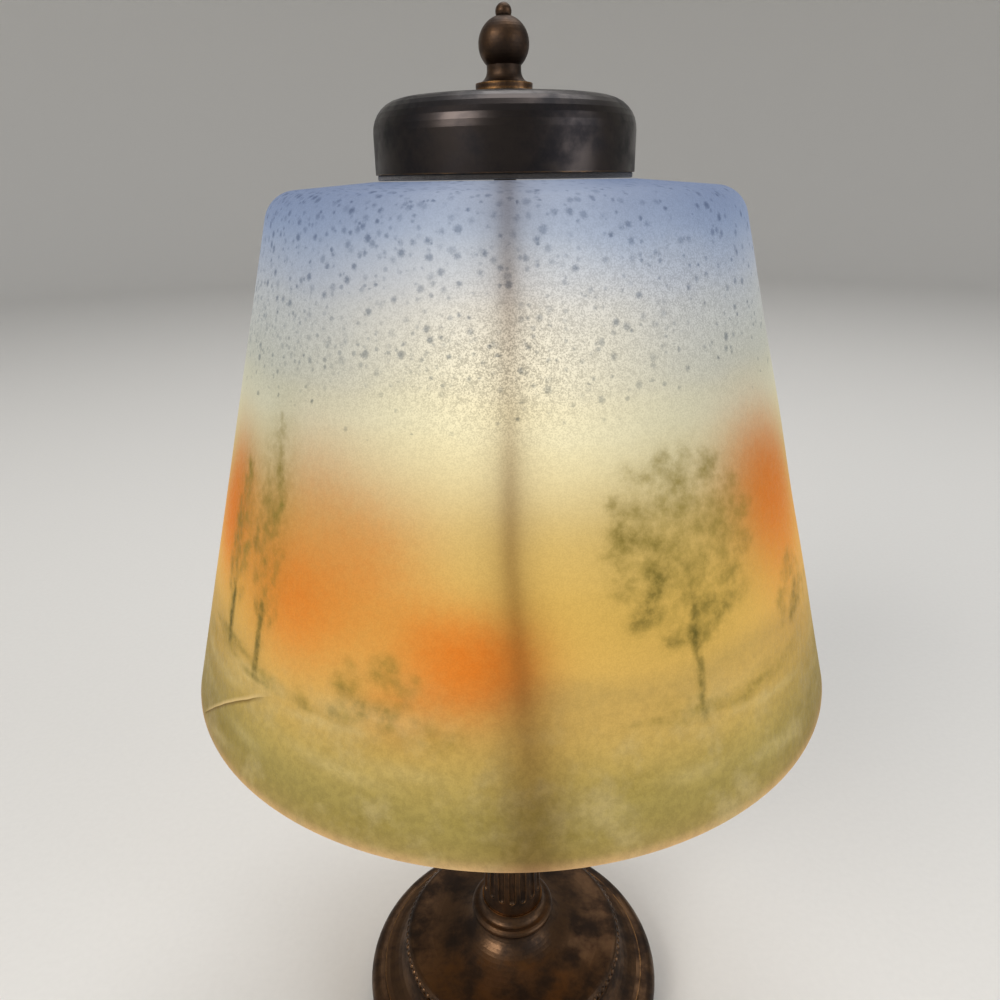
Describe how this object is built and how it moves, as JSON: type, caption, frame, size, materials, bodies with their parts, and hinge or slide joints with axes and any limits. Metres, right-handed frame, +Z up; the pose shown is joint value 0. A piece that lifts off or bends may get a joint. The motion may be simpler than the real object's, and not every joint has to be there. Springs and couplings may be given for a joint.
{
  "type": "table lamp",
  "caption": "Small table lamp: painted glass shade on a bent-wire harp, heat cap and finial, keyed socket with bulb, fluted column on a stepped round foot.",
  "frame": {"origin": "on the table, under the middle of the foot", "axes": "+Z up; the front of the lamp, as pictured, looks along -Y; +X is to the right, where the switch key is"},
  "size_m": [0.2018, 0.2018, 0.3632],
  "materials": {
    "bronze": "dark brown patinated cast and spun metal, rubbed on the edges",
    "brass": "aged satin brass",
    "iron": "rough cast",
    "steel": "zinc plated",
    "felt": "green felt",
    "felt_ring": "brown felt washer",
    "painted_glass": "pebbled outside, painted on the inside, opal and lit from within",
    "bakelite": "polished dark brown",
    "fibre": "pressed fibre",
    "porcelain": "glazed white",
    "cloth_wire": "cloth covered",
    "bulb_frost": "frosted inside, lit",
    "clear_glass": "clear",
    "vitrite": "black glass",
    "tungsten": "fine coil"
  },
  "bodies": {
    "stand": {"felt_pad": "felt", "foot": "bronze", "ballast": "iron", "foot_washer": "steel", "foot_nut": "steel", "cord_bushing": "bakelite", "lamp_pipe": "brass", "stem_collar": "bronze", "column": "bronze", "column_cup": "bronze", "neck_ring": "brass", "harp_saddle": "brass", "harp": "brass", "harp_stud": "brass", "shade_rest": "brass", "rest_gasket": "felt_ring", "cap_gasket": "felt_ring", "heat_cap": "bronze", "socket_cap": "brass", "cap_setscrew": "steel", "socket_shell": "brass", "socket_liner": "fibre", "socket_body": "porcelain", "screw_shell": "brass", "centre_contact": "brass", "terminal_screws": "steel", "lead_wires": "cloth_wire"},
    "front_sleeve": {"sleeve_front": "brass"},
    "back_sleeve": {"sleeve_back": "brass"},
    "shade": {"shade_glass": "painted_glass"},
    "finial": {"finial": "bronze"},
    "switch": {"switch_shaft": "brass", "switch_key": "bakelite"},
    "bulb": {"bulb_glass": "bulb_frost", "bulb_base": "brass", "bulb_insulator": "vitrite", "bulb_contact": "steel", "bulb_mount": "clear_glass", "filament": "tungsten"}
  },
  "joints": [
    {"name": "shade_turn", "type": "hinge", "parent": "stand", "child": "shade", "pos_m": [0, 0, 0.32], "axis": [0, 0, 1], "continuous": true},
    {"name": "finial_turn", "type": "hinge", "parent": "stand", "child": "finial", "pos_m": [0, 0, 0.35], "axis": [0, 0, 1], "continuous": true},
    {"name": "key_turn", "type": "hinge", "parent": "stand", "child": "switch", "pos_m": [0, 0, 0.2106], "axis": [1, 0, 0], "continuous": true},
    {"name": "bulb_turn", "type": "hinge", "parent": "stand", "child": "bulb", "pos_m": [0, 0, 0.24], "axis": [0, 0, 1], "continuous": true},
    {"name": "front_sleeve_lift", "type": "slide", "parent": "stand", "child": "front_sleeve", "axis": [0, 0, 1], "range_m": [0, 0.012]},
    {"name": "back_sleeve_lift", "type": "slide", "parent": "stand", "child": "back_sleeve", "axis": [0, 0, 1], "range_m": [0, 0.012]}
  ]
}
